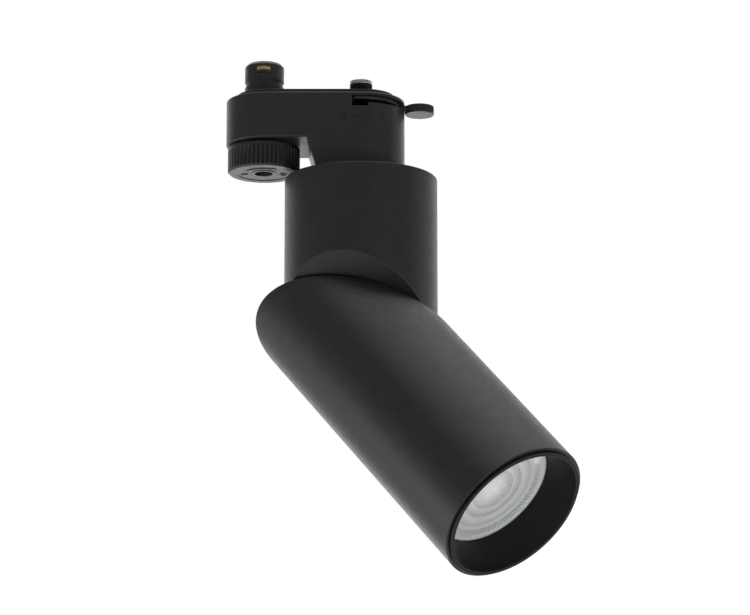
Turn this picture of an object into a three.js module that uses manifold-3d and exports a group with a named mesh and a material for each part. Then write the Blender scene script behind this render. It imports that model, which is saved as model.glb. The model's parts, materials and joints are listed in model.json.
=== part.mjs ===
// Track spotlight for a GU10 reflector lamp, in millimetres, +Z up.
// The origin is the centre of the seat face that is pressed against the underside of the track.
// A flat adapter hangs in the track, a canister pans under it, and a head of the same diameter
// swivels on the canister's oblique end, so that the head tilts as it turns.
import * as THREE from "three";
import { mergeVertices } from "three/addons/utils/BufferGeometryUtils.js";
import Module from "manifold-3d";

const wasm = await Module();
wasm.setup();

// ---- Driving dimensions ----

// Adapter: a long housing with round ends, and a neck that reaches down to the canister.
const ADAPTER_HALF_LENGTH = 35.2;
const ADAPTER_RADIUS = 16;
const HOUSING_TOP = -2.3;
const HOUSING_BOTTOM = -20.7;
const NECK_BOTTOM = -34;
const NECK_LEFT_TOP = -2.9; // the neck's slanted left face, at the housing's bottom
const NECK_LEFT_BOTTOM = 0.8;
const WALL = 2;
const TOP_WALL = 1.2;
const SEAT_INSET = 4;
const SPLIT_GAP = 0.1; // each half stops this far from the parting plane
const RUNNING_GAP = 0.3;

// Axes of the two turning pieces in the adapter.
const PAN_X = 18;
const KNOB_X = -20.3;

// Locking knob and its contact rotor.
const KNOB_RADIUS = 14.2;
const KNOB_TOP = -21.5;
const KNOB_BOTTOM = -31.5;
const ROTOR_RADIUS = 7.75;
const ROTOR_TOP = 13;
const SPINDLE_RADIUS = 3.4;

// Lock lever.
const LEVER_TOP = -3.7;
const LEVER_BOTTOM = -4.9;
const LEVER_DISC_RADIUS = 13.7;
const LEVER_RIM_RADIUS = 15.2;
const BUTTON_REACH = 23.1;
const BUTTON_RADIUS = 5.7;
const BUTTON_TOP = -4.1;
const BUTTON_BOTTOM = -7.4;
const HUB_RADIUS = 4.6;

// Canister and head: two tubes of one diameter, each cut by the swivel plane.
const TUBE_RADIUS = 30;
const TUBE_WALL = 1.5;
const CANISTER_TOP = -34.3;
const CAP_THICKNESS = 2;
const PIVOT = new THREE.Vector3(PAN_X, 0, -99.3);
const SWIVEL_SLANT = THREE.MathUtils.degToRad(45); // the swivel axis against the tubes' axes
const SWIVEL_AZIMUTH = THREE.MathUtils.degToRad(-106.4);
const REST_SWIVEL = THREE.MathUtils.degToRad(66.1); // turn from the straight pose to the rest pose
const SWIVEL_GAP = 1.1;
const END_WALL = 2.5;
const STOP_RADIUS = 15;

// Head contents, measured along the head from the pivot (negative towards the front).
const HEAD_TUBE_END = -106.3;
const BAFFLE_FRONT = -107.6;
const LAMP_FACE = -92.7;
const LAMP_RADIUS = 25;
const LAMP_BASE_END = -44.7;
const HOLDER_FRONT = -44.2;
const HOLDER_BACK = -24.9;
const HOLDER_RADIUS = 12;
const PIN_SPREAD = 5;

// Threaded hollow nipples, nuts and the lead.
const NIPPLE_RADIUS = 4.9;
const NIPPLE_BORE = 3.3;
const NUT_RADIUS = 9;
const NUT_THICKNESS = 4;
const CABLE_RADIUS = 2.2;
const LEAD_RADIUS = 0.9;

const TUBE_SEGMENTS = 36;
const SMALL_SEGMENTS = 16;
const BIG = 300; // edge of the boxes that cut along a plane

// ---- Materials ----

const finish = (color, roughness, metalness) =>
  new THREE.MeshStandardMaterial({ color, roughness, metalness });
const BLACK_PAINT = [0x262627, 0.5, 0.1];
const BLACK_PLASTIC = [0x232324, 0.55, 0];
const BAFFLE_PLASTIC = [0x161616, 0.6, 0];
const ZINC_STEEL = [0xb9bcc0, 0.35, 1];
const BRASS = [0xc9a45a, 0.35, 1];
const WHITE_CERAMIC = [0xe9e6de, 0.5, 0];
const WHITE_PLASTIC = [0xe4e4e2, 0.45, 0];
const LENS_PLASTIC = [0xd6dadb, 0.2, 0];
const ALUMINIUM = [0xc4c6c8, 0.4, 1];
const SHEATH = [0xd9d7d0, 0.6, 0];

// ---- Solid helpers ----

// A closed geometry as a solid that can be cut and joined.
function solidOf(geometry) {
  const plain = geometry.index ? geometry.toNonIndexed() : geometry.clone();
  plain.deleteAttribute("normal");
  plain.deleteAttribute("uv");
  const merged = mergeVertices(plain, 1e-4);
  const triVerts = new Uint32Array(merged.index.array);
  const vertProperties = merged.attributes.position.array;
  return new wasm.Manifold(new wasm.Mesh({ numProp: 3, vertProperties, triVerts }));
}

function geometryOf(solid) {
  const { vertProperties, triVerts } = solid.getMesh();
  const geometry = new THREE.BufferGeometry();
  geometry.setAttribute("position", new THREE.BufferAttribute(vertProperties, 3));
  geometry.setIndex(new THREE.BufferAttribute(triVerts, 1));
  return geometry;
}

const join = (first, ...others) =>
  geometryOf(others.reduce((all, g) => all.add(solidOf(g)), solidOf(first)));
const cut = (body, ...tools) =>
  geometryOf(tools.reduce((left, g) => left.subtract(solidOf(g)), solidOf(body)));
const overlap = (a, b) => geometryOf(solidOf(a).intersect(solidOf(b)));

// A round solid about Z. The profile is a list of [radius, z], anticlockwise on the (radius, z) page.
function revolve(profile, segments = TUBE_SEGMENTS) {
  const points = profile.map(([r, z]) => new THREE.Vector2(r, z));
  const onAxis = profile[0][0] === 0 && profile.at(-1)[0] === 0;
  if (!onAxis) points.push(points[0].clone());
  return new THREE.LatheGeometry(points, segments).rotateX(Math.PI / 2);
}

const cylinder = (radius, z0, z1, segments = SMALL_SEGMENTS) =>
  new THREE.CylinderGeometry(radius, radius, z1 - z0, segments)
    .rotateX(Math.PI / 2)
    .translate(0, 0, (z0 + z1) / 2);

const ring = (inner, outer, z0, z1, segments = SMALL_SEGMENTS) =>
  revolve([[inner, z0], [outer, z0], [outer, z1], [inner, z1]], segments);

const box = (x0, x1, y0, y1, z0, z1) =>
  new THREE.BoxGeometry(x1 - x0, y1 - y0, z1 - z0)
    .translate((x0 + x1) / 2, (y0 + y1) / 2, (z0 + z1) / 2);

const slab = (shape, z0, z1, curveSegments = 12) =>
  new THREE.ExtrudeGeometry(shape, { depth: z1 - z0, bevelEnabled: false, curveSegments })
    .translate(0, 0, z0);

// An outline in the XZ plane, made thick along Y from -halfWidth to +halfWidth.
const slabAlongY = (points, halfWidth) => {
  const shape = new THREE.Shape(points.map(([x, z]) => new THREE.Vector2(x, z)));
  return slab(shape, -halfWidth, halfWidth).rotateX(Math.PI / 2);
};

// A rod along Y.
const rodAlongY = (radius, x, z, y0, y1) =>
  cylinder(radius, y0, y1, 12).rotateX(-Math.PI / 2).translate(x, 0, z);

function stadium(halfLength, radius) {
  const centre = halfLength - radius;
  const shape = new THREE.Shape();
  shape.absarc(centre, 0, radius, -Math.PI / 2, Math.PI / 2, false);
  shape.absarc(-centre, 0, radius, Math.PI / 2, (3 * Math.PI) / 2, false);
  shape.closePath();
  return shape;
}

// A ring-shaped sector between two angles in degrees.
function sector(inner, outer, fromDegrees, toDegrees, z0, z1) {
  const from = THREE.MathUtils.degToRad(fromDegrees);
  const to = THREE.MathUtils.degToRad(toDegrees);
  const shape = new THREE.Shape();
  shape.absarc(0, 0, outer, from, to, false);
  shape.absarc(0, 0, inner, to, from, true);
  shape.closePath();
  return slab(shape, z0, z1, Math.max(6, Math.round((toDegrees - fromDegrees) / 14)));
}

// The half of space behind a plane, on the side that its normal points to.
function halfSpace(normal, distance) {
  const turn = new THREE.Quaternion().setFromUnitVectors(new THREE.Vector3(0, 0, 1), normal);
  const block = new THREE.BoxGeometry(BIG, BIG, BIG).translate(0, 0, distance + BIG / 2);
  return block.applyQuaternion(turn);
}

function cableAlong(points, radius, sides, steps) {
  const section = new THREE.Shape();
  for (let i = 0; i < sides; i += 1) {
    const angle = (i / sides) * 2 * Math.PI;
    const [x, y] = [radius * Math.cos(angle), radius * Math.sin(angle)];
    if (i === 0) section.moveTo(x, y);
    else section.lineTo(x, y);
  }
  section.closePath();
  const extrudePath = new THREE.CatmullRomCurve3(points.map(([x, y, z]) => new THREE.Vector3(x, y, z)));
  return new THREE.ExtrudeGeometry(section, { steps, extrudePath, bevelEnabled: false });
}

const nut = (z0, z1) => cut(cylinder(NUT_RADIUS, z0, z1, 6), cylinder(NIPPLE_RADIUS + 0.1, z0 - 1, z1 + 1));

function addTo(group, name, geometry, look) {
  const mesh = new THREE.Mesh(geometry, finish(...look));
  mesh.name = name;
  group.add(mesh);
}

const spotlight = new THREE.Group();

// ---- Swivel frame: Z along the swivel axis, X level ----

const swivelAxis = new THREE.Vector3(
  Math.sin(SWIVEL_SLANT) * Math.cos(SWIVEL_AZIMUTH),
  Math.sin(SWIVEL_SLANT) * Math.sin(SWIVEL_AZIMUTH),
  -Math.cos(SWIVEL_SLANT),
);
const swivelLevel = new THREE.Vector3(-Math.sin(SWIVEL_AZIMUTH), Math.cos(SWIVEL_AZIMUTH), 0);
const swivelUp = new THREE.Vector3().crossVectors(swivelAxis, swivelLevel);
const swivelBasis = new THREE.Matrix4().makeBasis(swivelLevel, swivelUp, swivelAxis);
const inSwivelFrame = (geometry) => geometry.applyMatrix4(swivelBasis);

// ---- Adapter housing: two half shells, parted on the plane Y = 0 ----

// X of the neck's slanted left face at a height, set in by a wall.
function neckLeft(z, inset) {
  const share = (HOUSING_BOTTOM - z) / (HOUSING_BOTTOM - NECK_BOTTOM);
  return THREE.MathUtils.lerp(NECK_LEFT_TOP, NECK_LEFT_BOTTOM, share) + inset;
}

function housingBlock(inset, topInset) {
  const top = HOUSING_TOP - topInset;
  const step = HOUSING_BOTTOM + inset;
  const bottom = NECK_BOTTOM + inset;
  const end = ADAPTER_HALF_LENGTH + 1;
  const profile = [
    [-end, top],
    [-end, step],
    [neckLeft(step, inset), step],
    [neckLeft(bottom, inset), bottom],
    [end, bottom],
    [end, top],
  ];
  const plan = stadium(ADAPTER_HALF_LENGTH - inset, ADAPTER_RADIUS - inset);
  return overlap(slab(plan, bottom, top), slabAlongY(profile, ADAPTER_RADIUS));
}

const HOUSING_SCREWS = [[-4.5, -13.5], [6.5, -22], [25, -22]];
const BOSS_RADIUS = 3.9;
const SCREW_HEAD_RADIUS = 2.8;
const SCREW_SHANK_RADIUS = 1.3;
const SCREW_SEAT = 13.2; // Y of the floor under each screw head
const SCREW_TIP = -11.5;

function housingShell() {
  const outer = housingBlock(0, 0);
  const inner = housingBlock(WALL, TOP_WALL);
  const bosses = HOUSING_SCREWS.map(([x, z]) =>
    rodAlongY(BOSS_RADIUS, x, z, -ADAPTER_RADIUS, ADAPTER_RADIUS));
  const bossesInside = overlap(outer, join(...bosses));
  const panStop = box(PAN_X + 10.5, PAN_X + 13, 0, 1.6, NECK_BOTTOM + 1, NECK_BOTTOM + WALL + 2.2);
  const shell = join(cut(outer, inner), bossesInside, panStop);
  const screwHoles = HOUSING_SCREWS.flatMap(([x, z]) => [
    rodAlongY(SCREW_SHANK_RADIUS + 0.2, x, z, SCREW_TIP - 1, ADAPTER_RADIUS + 1),
    rodAlongY(SCREW_HEAD_RADIUS + RUNNING_GAP, x, z, SCREW_SEAT, ADAPTER_RADIUS + 1),
  ]);
  const slotTop = LEVER_TOP + 0.15;
  return cut(
    shell,
    ...screwHoles,
    cylinder(ROTOR_RADIUS + 0.45, -8, 0, 32).translate(KNOB_X, 0, 0),
    cylinder(HUB_RADIUS + RUNNING_GAP, -4, 0, 24).translate(PAN_X, 0, 0),
    cylinder(SPINDLE_RADIUS + 0.5, -22, -18).translate(KNOB_X, 0, 0),
    cylinder(NIPPLE_RADIUS + 0.4, -35, -31).translate(PAN_X, 0, 0),
    sector(12, 20, -90, 15, -6.7, slotTop).translate(PAN_X, 0, 0),
    sector(12, LEVER_RIM_RADIUS + 0.2, -120, -80, LEVER_BOTTOM - 0.2, slotTop).translate(PAN_X, 0, 0),
    box(PAN_X - 3.5, PAN_X + 2.8, -20, -12, -8, slotTop),
  );
}

const shell = housingShell();
const behind = (y) => halfSpace(new THREE.Vector3(0, 1, 0), y);
const before = (y) => halfSpace(new THREE.Vector3(0, -1, 0), -y);
addTo(spotlight, "adapter_housing_front", cut(shell, behind(-SPLIT_GAP)), BLACK_PLASTIC);
addTo(spotlight, "adapter_housing_rear", cut(shell, before(SPLIT_GAP)), BLACK_PLASTIC);

const seatPlan = stadium(ADAPTER_HALF_LENGTH - SEAT_INSET, ADAPTER_RADIUS - SEAT_INSET);
const seatPlate = cut(
  slab(seatPlan, HOUSING_TOP + 0.05, 0),
  cylinder(ROTOR_RADIUS + 0.45, -4, 1, 32).translate(KNOB_X, 0, 0),
  cylinder(HUB_RADIUS + RUNNING_GAP, -4, 1, 24).translate(PAN_X, 0, 0),
);
addTo(spotlight, "seat_plate", seatPlate, BLACK_PLASTIC);

HOUSING_SCREWS.forEach(([x, z], i) => {
  const head = rodAlongY(SCREW_HEAD_RADIUS, x, z, SCREW_SEAT + 0.1, SCREW_SEAT + 1.3);
  const drive = rodAlongY(1.2, x, z, SCREW_SEAT + 0.7, SCREW_SEAT + 2);
  const shank = rodAlongY(SCREW_SHANK_RADIUS, x, z, SCREW_TIP, SCREW_SEAT + 0.6);
  addTo(spotlight, `housing_screw_${i + 1}`, cut(join(head, shank), drive), ZINC_STEEL);
});

const contactDisc = ring(SPINDLE_RADIUS + 0.4, 9, -9, -7.8, 24).translate(KNOB_X, 0, 0);
addTo(spotlight, "contact_disc", contactDisc, WHITE_PLASTIC);

// The two leads run from the pan axis, over the first screw boss, to the contact disc.
const LEADS = [["live_lead", -1, [0x6b4a2c, 0.6, 0]], ["neutral_lead", 1, [0x3c5f8f, 0.6, 0]]];
for (const [name, side, look] of LEADS) {
  const route = [
    [PAN_X - 1.2, side * 1.2, -25.2],
    [PAN_X - 1.6, side * 2, -18],
    [PAN_X - 8, side * 4.5, -12.2],
    [0, side * 5, -8.6],
    [-9, side * 5, -9.4],
    [KNOB_X + 7, side * 4.4, -11.2],
    [KNOB_X + 5.6, side * 3.8, -9.4],
  ];
  addTo(spotlight, name, cableAlong(route, LEAD_RADIUS, 5, 20), look);
}

const panWasher = ring(NIPPLE_RADIUS + 0.4, NUT_RADIUS, -31.9, -31.3, 24).translate(PAN_X, 0, 0);
addTo(spotlight, "pan_washer", panWasher, ZINC_STEEL);

// ---- Locking knob: turns the contact rotor a quarter turn in the track ----

const knob = new THREE.Group();
knob.position.x = KNOB_X;
spotlight.add(knob);

const SPINDLE_SEAT = -27;
const knobBody = cut(
  join(
    cylinder(KNOB_RADIUS, KNOB_BOTTOM + 0.8, KNOB_TOP, TUBE_SEGMENTS),
    cylinder(KNOB_RADIUS - 0.8, KNOB_BOTTOM, KNOB_BOTTOM + 1, TUBE_SEGMENTS),
  ),
  ring(6, KNOB_RADIUS - 2.4, KNOB_BOTTOM + 2.4, KNOB_TOP + 1, 24),
  cylinder(SPINDLE_RADIUS + 0.15, SPINDLE_SEAT, KNOB_TOP + 1),
  cylinder(1.8, KNOB_BOTTOM - 1, SPINDLE_SEAT + 1),
  cylinder(3.5, KNOB_BOTTOM - 1, KNOB_BOTTOM + 3),
);
addTo(knob, "locking_knob", knobBody, BLACK_PLASTIC);

const spindle = cut(
  cylinder(SPINDLE_RADIUS, SPINDLE_SEAT + 0.1, -2),
  cylinder(1.65, SPINDLE_SEAT - 1, -22),
);
addTo(knob, "knob_spindle", spindle, WHITE_PLASTIC);

const knobScrew = cut(
  join(cylinder(3, KNOB_BOTTOM + 1.5, KNOB_BOTTOM + 2.9), cylinder(1.5, KNOB_BOTTOM + 2.8, -23)),
  cylinder(1.3, KNOB_BOTTOM, KNOB_BOTTOM + 2.2, 6),
);
addTo(knob, "knob_screw", knobScrew, ZINC_STEEL);

const BLADE_Z = 8;
const BLADE_WIDTH = 5;
const BLADE_THICKNESS = 1.2;
const BLADE_REACH = 12.4;
const BLADE_ROOT = 4;
const blade = (grow) => {
  const half = BLADE_WIDTH / 2 + grow;
  const top = BLADE_Z + BLADE_THICKNESS + grow;
  return box(-half, half, BLADE_ROOT - grow, BLADE_REACH, BLADE_Z - grow, top);
};
const rotorProfile = [
  [0, -6],
  [9.6, -6],
  [9.6, -3.8],
  [ROTOR_RADIUS, -3.8],
  [ROTOR_RADIUS, ROTOR_TOP - 1.2],
  [6.6, ROTOR_TOP],
  [0, ROTOR_TOP],
];
const rotor = cut(
  revolve(rotorProfile, 32),
  cylinder(SPINDLE_RADIUS + 0.15, -7, -1.8),
  blade(0.15),
  blade(0.15).rotateZ(Math.PI),
);
addTo(knob, "contact_rotor", rotor, BLACK_PLASTIC);
addTo(knob, "live_contact", blade(0), BRASS);
addTo(knob, "neutral_contact", blade(0).rotateZ(Math.PI), BRASS);

// ---- Lock lever: a disc under the housing's top wall, with an arm and a button outside ----

const lever = new THREE.Group();
lever.position.x = PAN_X;
spotlight.add(lever);

const leverBody = cut(
  join(
    cylinder(LEVER_DISC_RADIUS, LEVER_BOTTOM, LEVER_TOP, TUBE_SEGMENTS),
    sector(10, LEVER_RIM_RADIUS, -100, 12, LEVER_BOTTOM, LEVER_TOP),
    cylinder(HUB_RADIUS, -9, 2.4, 24),
    box(10, BUTTON_REACH, -2.5, 2.5, -6.3, BUTTON_TOP),
    cylinder(BUTTON_RADIUS, BUTTON_BOTTOM, BUTTON_TOP, 32).translate(BUTTON_REACH, 0, 0),
  ),
  cylinder(1.6, -4, 3),
);
addTo(lever, "lock_lever", leverBody, BLACK_PLASTIC);

const tongue = cut(
  overlap(slab(stadium(12, 4.5), 2.5, 4).rotateZ(Math.PI / 2), cylinder(12, 2, 5, 32)),
  cylinder(1.7, 2, 5),
);
addTo(lever, "lock_tongue", tongue, ZINC_STEEL);
const tongueScrew = cut(join(cylinder(3, 4.1, 5.5), cylinder(1.4, -3, 4.2)), cylinder(1.3, 4.8, 6, 6));
addTo(lever, "tongue_screw", tongueScrew, ZINC_STEEL);

// ---- Canister: pans about the hollow nipple in the neck ----

const canister = new THREE.Group();
canister.position.x = PAN_X;
spotlight.add(canister);

const capBottom = CANISTER_TOP - CAP_THICKNESS;
const CAP_LIP = 4.5;
const tubeBore = TUBE_RADIUS - TUBE_WALL;
const cap = revolve([
  [NIPPLE_RADIUS + 0.1, capBottom],
  [tubeBore - 2, capBottom],
  [tubeBore - 2, capBottom - CAP_LIP],
  [tubeBore - RUNNING_GAP, capBottom - CAP_LIP],
  [tubeBore - RUNNING_GAP, capBottom],
  [TUBE_RADIUS, capBottom],
  [TUBE_RADIUS, CANISTER_TOP],
  [NIPPLE_RADIUS + 0.1, CANISTER_TOP],
]);
addTo(canister, "canister_top_cap", cap, BLACK_PAINT);

// A plane across the swivel axis, at a distance past the pivot, in the canister's own frame.
const acrossSwivel = (distance) => halfSpace(swivelAxis, distance).translate(0, 0, PIVOT.z);
const inPivotFrame = (geometry) => inSwivelFrame(geometry).translate(0, 0, PIVOT.z);
const tubeLow = PIVOT.z - 2 * TUBE_RADIUS;
const canisterShell = cut(
  cut(cylinder(TUBE_RADIUS, tubeLow, capBottom - 0.1, TUBE_SEGMENTS), acrossSwivel(0)),
  cut(cylinder(tubeBore, tubeLow, capBottom + 1, TUBE_SEGMENTS), acrossSwivel(-END_WALL)),
  inPivotFrame(cylinder(NIPPLE_RADIUS + 0.1, -END_WALL - 1, 1)),
  inPivotFrame(cylinder(1.7, -END_WALL - 1, 1, 12).translate(0, STOP_RADIUS, 0)),
);
addTo(canister, "canister_shell", canisterShell, BLACK_PAINT);

addTo(canister, "pan_nipple", ring(NIPPLE_BORE, NIPPLE_RADIUS, -42, -26.4), ZINC_STEEL);
const panStopWasher = join(
  ring(NIPPLE_RADIUS + 0.1, NUT_RADIUS - 0.5, -31.2, -30.4, 24),
  box(-12.5, -7, -1, 1, -31.2, -30.4),
);
addTo(canister, "pan_stop_washer", panStopWasher, ZINC_STEEL);
addTo(canister, "pan_nut_upper", nut(-30.3, -27), ZINC_STEEL);
addTo(canister, "pan_nut_lower", nut(capBottom - 0.1 - NUT_THICKNESS, capBottom - 0.1), ZINC_STEEL);

const TERMINAL_Y = 13;
const TERMINAL_TOP = -53;
const TERMINAL_BOTTOM = -65;
const terminalBlock = cut(
  box(-11, 11, TERMINAL_Y - 7, TERMINAL_Y + 7, TERMINAL_BOTTOM, TERMINAL_TOP),
  ...[-6.5, 0, 6.5].map((x) => rodAlongY(1.8, x, (TERMINAL_TOP + TERMINAL_BOTTOM) / 2, 0, TERMINAL_Y)),
);
addTo(canister, "terminal_block", terminalBlock, WHITE_PLASTIC);

const upperCable = [
  [0, 0, -26],
  [0, 0, -34],
  [0, 0, -42],
  [0, 4.5, -46.8],
  [0, 10.4, -46.8],
  [0, TERMINAL_Y, -49.6],
  [0, TERMINAL_Y, TERMINAL_TOP + 0.6],
];
addTo(canister, "upper_cable", cableAlong(upperCable, CABLE_RADIUS, 6, 20), SHEATH);

const pivotBelowPan = new THREE.Vector3(0, 0, PIVOT.z);
const alongSwivel = (distance) =>
  swivelAxis.clone().multiplyScalar(distance).add(pivotBelowPan).toArray();
const lowerCable = [
  [0, TERMINAL_Y, TERMINAL_BOTTOM - 0.6],
  [0, TERMINAL_Y, -69],
  [0.6, TERMINAL_Y + 0.6, -74],
  [2.6, TERMINAL_Y + 2, -80],
  alongSwivel(-16),
  alongSwivel(-9),
  alongSwivel(0),
  alongSwivel(9),
  alongSwivel(13.3),
];
addTo(canister, "lower_cable", cableAlong(lowerCable, CABLE_RADIUS, 6, 24), SHEATH);

const FOOT_THICKNESS = 1.5;
const headWallInside = SWIVEL_GAP + END_WALL;
const springWasherStart = headWallInside + 0.3 + FOOT_THICKNESS + 0.3;
const lockNutStart = springWasherStart + 1.1;
addTo(canister, "swivel_nipple", inPivotFrame(ring(NIPPLE_BORE, NIPPLE_RADIUS, -12, 13)), ZINC_STEEL);
const swivelNut = inPivotFrame(nut(-END_WALL - 0.3 - NUT_THICKNESS, -END_WALL - 0.3));
addTo(canister, "swivel_nut", swivelNut, ZINC_STEEL);
const frictionWasher = inPivotFrame(ring(NIPPLE_RADIUS + 0.1, 12, 0.3, 0.8, 32));
addTo(canister, "swivel_friction_washer", frictionWasher, WHITE_PLASTIC);
const springWasher = inPivotFrame(ring(NIPPLE_RADIUS + 0.1, 8, springWasherStart, springWasherStart + 0.8));
addTo(canister, "swivel_spring_washer", springWasher, ZINC_STEEL);
addTo(canister, "swivel_lock_nut", inPivotFrame(nut(lockNutStart, lockNutStart + 3.5)), ZINC_STEEL);
const stopPin = inPivotFrame(cylinder(1.4, -END_WALL - 1.5, 2.5, 12).translate(0, STOP_RADIUS, 0));
addTo(canister, "swivel_stop_pin", stopPin, ZINC_STEEL);

// ---- Head: built straight under the canister, then turned about the swivel axis ----

const head = new THREE.Group();
head.position.copy(PIVOT).addScaledVector(swivelAxis, SWIVEL_GAP);
head.quaternion.setFromAxisAngle(swivelAxis, REST_SWIVEL);
spotlight.add(head);

const headTop = 2 * TUBE_RADIUS;
const behindSwivel = (distance) => halfSpace(swivelAxis.clone().negate(), -distance);
const headShell = cut(
  cut(cylinder(TUBE_RADIUS, HEAD_TUBE_END, headTop, TUBE_SEGMENTS), behindSwivel(0)),
  cut(cylinder(tubeBore, HEAD_TUBE_END - 1, headTop, TUBE_SEGMENTS), behindSwivel(END_WALL)),
  inSwivelFrame(cylinder(NIPPLE_RADIUS + RUNNING_GAP, -1, END_WALL + 1)),
  inSwivelFrame(sector(STOP_RADIUS - 1.8, STOP_RADIUS + 1.8, -86, 266, -0.5, 1.7)),
);
addTo(head, "head_shell", headShell, BLACK_PAINT);

// Bracket: a foot on the oblique wall, a leg beside the axis and a plate over the lampholder.
// Its own frame has X along the level part of the swivel axis, and Z along the tube.
const PLATE_Z = HOLDER_BACK + 0.3;
const LEG_X = 14;
const levelTurn = new THREE.Matrix4().makeRotationZ(SWIVEL_AZIMUTH);
const footBack = END_WALL + 0.3;
const footReach = (LEG_X + FOOT_THICKNESS) / Math.sin(SWIVEL_SLANT) - footBack - FOOT_THICKNESS / 2;
const foot = cut(
  box(-7, 7, -9, footReach, footBack, footBack + FOOT_THICKNESS),
  cylinder(NIPPLE_RADIUS + RUNNING_GAP, footBack - 1, footBack + 3),
);
const legTop = LEG_X + FOOT_THICKNESS / 2 - (footBack + FOOT_THICKNESS / 2) / Math.sin(SWIVEL_SLANT);
const leg = box(LEG_X, LEG_X + FOOT_THICKNESS, -7, 7, PLATE_Z, legTop).applyMatrix4(levelTurn);
const plateEnd = LEG_X + FOOT_THICKNESS;
const plate = box(-11, plateEnd, -7, 7, PLATE_Z, PLATE_Z + FOOT_THICKNESS).applyMatrix4(levelTurn);
const HOLDER_SCREW_SPREAD = 8;
const besideHolder = (geometry, side) =>
  geometry.translate(side * HOLDER_SCREW_SPREAD, 0, 0).applyMatrix4(levelTurn);
const holderScrewHoles = [-1, 1].map((side) =>
  besideHolder(cylinder(1.7, PLATE_Z - 1, PLATE_Z + 3, 12), side));
const bracket = cut(join(plate, leg, inSwivelFrame(foot)), ...holderScrewHoles);
addTo(head, "lampholder_bracket", bracket, ZINC_STEEL);

// Lampholder: each bayonet slot lets a pin turn in it.
const pinSlot = (turn) =>
  sector(2.2, 7.8, -58, 35, HOLDER_FRONT - 1, HOLDER_FRONT + 8).rotateZ(turn);
const holder = cut(
  cylinder(HOLDER_RADIUS, HOLDER_FRONT, HOLDER_BACK, 32),
  pinSlot(0),
  pinSlot(Math.PI),
  ...[-1, 1].map((side) => besideHolder(cylinder(1.6, HOLDER_BACK - 5, HOLDER_BACK + 1, 12), side)),
);
addTo(head, "lampholder", holder, WHITE_CERAMIC);

[-1, 1].forEach((side, i) => {
  const plateTop = PLATE_Z + FOOT_THICKNESS;
  const screwHead = cylinder(2.7, plateTop + RUNNING_GAP, plateTop + 1.8, 12);
  const shank = cylinder(1.3, HOLDER_BACK - 4.5, plateTop + 0.6, 12);
  const screw = besideHolder(join(screwHead, shank), side);
  addTo(head, `lampholder_screw_${i + 1}`, screw, ZINC_STEEL);
});

const headCable = [
  [9.7, 0, -9.7],
  [9, 0, -12.5],
  [3, 0, -15.8],
  [-7, 0, -17],
  [-13, 0, -20.4],
  [-16.4, 0, -26],
  [-16.2, 0, -31],
  [-14.2, 0, -34],
];
const headCableSolid = cableAlong(headCable, 1.6, 6, 22).applyMatrix4(levelTurn);
addTo(head, "head_cable", headCableSolid, SHEATH);

// ---- Lamp: a GU10 reflector lamp, turned a little to free its pins ----

const lampBody = revolve([
  [0, -50.4],
  [0, -57],
  [12.4, -57],
  [17.4, -68],
  [22.8, -85],
  [23.6, -88.8],
  [24.6, -88.8],
  [24.6, LAMP_FACE + 0.4],
  [LAMP_RADIUS, LAMP_FACE + 0.4],
  [LAMP_RADIUS, -88],
  [24.2, -84],
  [19, -67.5],
  [14, -55.5],
  [13.2, -50.4],
]);
addTo(head, "lamp_body", lampBody, WHITE_PLASTIC);
addTo(head, "lamp_lens", cylinder(24.3, LAMP_FACE, LAMP_FACE + 3.5, TUBE_SEGMENTS), LENS_PLASTIC);
addTo(head, "led_board", cylinder(15.5, -69.8, -68.2, 24), ALUMINIUM);
addTo(head, "lamp_base", cylinder(11.5, -50.1, LAMP_BASE_END, 24), WHITE_CERAMIC);
for (const [i, side] of [-1, 1].entries()) {
  const pin = revolve([[0, -44.4], [1.6, -44.4], [1.6, -40], [2.4, -40], [2.4, -37.8], [0, -37.8]], 12);
  addTo(head, `lamp_pin_${i + 1}`, pin.translate(side * PIN_SPREAD, 0, 0), BRASS);
}

// ---- Baffle: a push-fit ring that hides the lamp's rim ----

const baffle = revolve([
  [27.2, BAFFLE_FRONT],
  [28.6, BAFFLE_FRONT],
  [28.6, BAFFLE_FRONT + 1.2],
  [tubeBore - RUNNING_GAP, BAFFLE_FRONT + 1.2],
  [tubeBore - RUNNING_GAP, LAMP_FACE + 2],
  [LAMP_RADIUS + 0.7, LAMP_FACE + 2],
  [LAMP_RADIUS + 0.7, LAMP_FACE - 0.3],
  [23.7, LAMP_FACE - 0.3],
  [23.7, LAMP_FACE - 0.7],
]);
addTo(head, "baffle_ring", baffle, BAFFLE_PLASTIC);

export default spotlight;
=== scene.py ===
# Track spotlight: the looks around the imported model. Lengths are in metres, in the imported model's frame.
import json
import math

import bmesh
import bpy
from mathutils import Matrix, Quaternion, Vector


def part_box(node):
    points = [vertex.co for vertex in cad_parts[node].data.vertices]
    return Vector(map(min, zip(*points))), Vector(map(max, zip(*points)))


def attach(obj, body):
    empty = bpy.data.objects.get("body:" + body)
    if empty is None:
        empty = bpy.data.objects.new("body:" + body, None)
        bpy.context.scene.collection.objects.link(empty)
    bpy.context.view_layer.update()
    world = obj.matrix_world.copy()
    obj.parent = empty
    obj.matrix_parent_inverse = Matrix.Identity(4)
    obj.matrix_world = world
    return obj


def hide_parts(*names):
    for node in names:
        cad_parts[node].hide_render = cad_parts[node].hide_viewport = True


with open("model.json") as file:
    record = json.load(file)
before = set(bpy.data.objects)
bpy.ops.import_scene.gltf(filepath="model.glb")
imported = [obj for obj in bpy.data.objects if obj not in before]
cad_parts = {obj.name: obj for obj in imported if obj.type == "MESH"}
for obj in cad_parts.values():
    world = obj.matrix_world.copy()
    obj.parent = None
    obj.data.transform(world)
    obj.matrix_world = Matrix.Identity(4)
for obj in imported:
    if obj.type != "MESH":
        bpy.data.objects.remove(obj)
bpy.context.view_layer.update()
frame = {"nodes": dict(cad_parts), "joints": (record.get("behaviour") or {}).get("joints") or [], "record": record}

MM = 0.001
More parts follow.
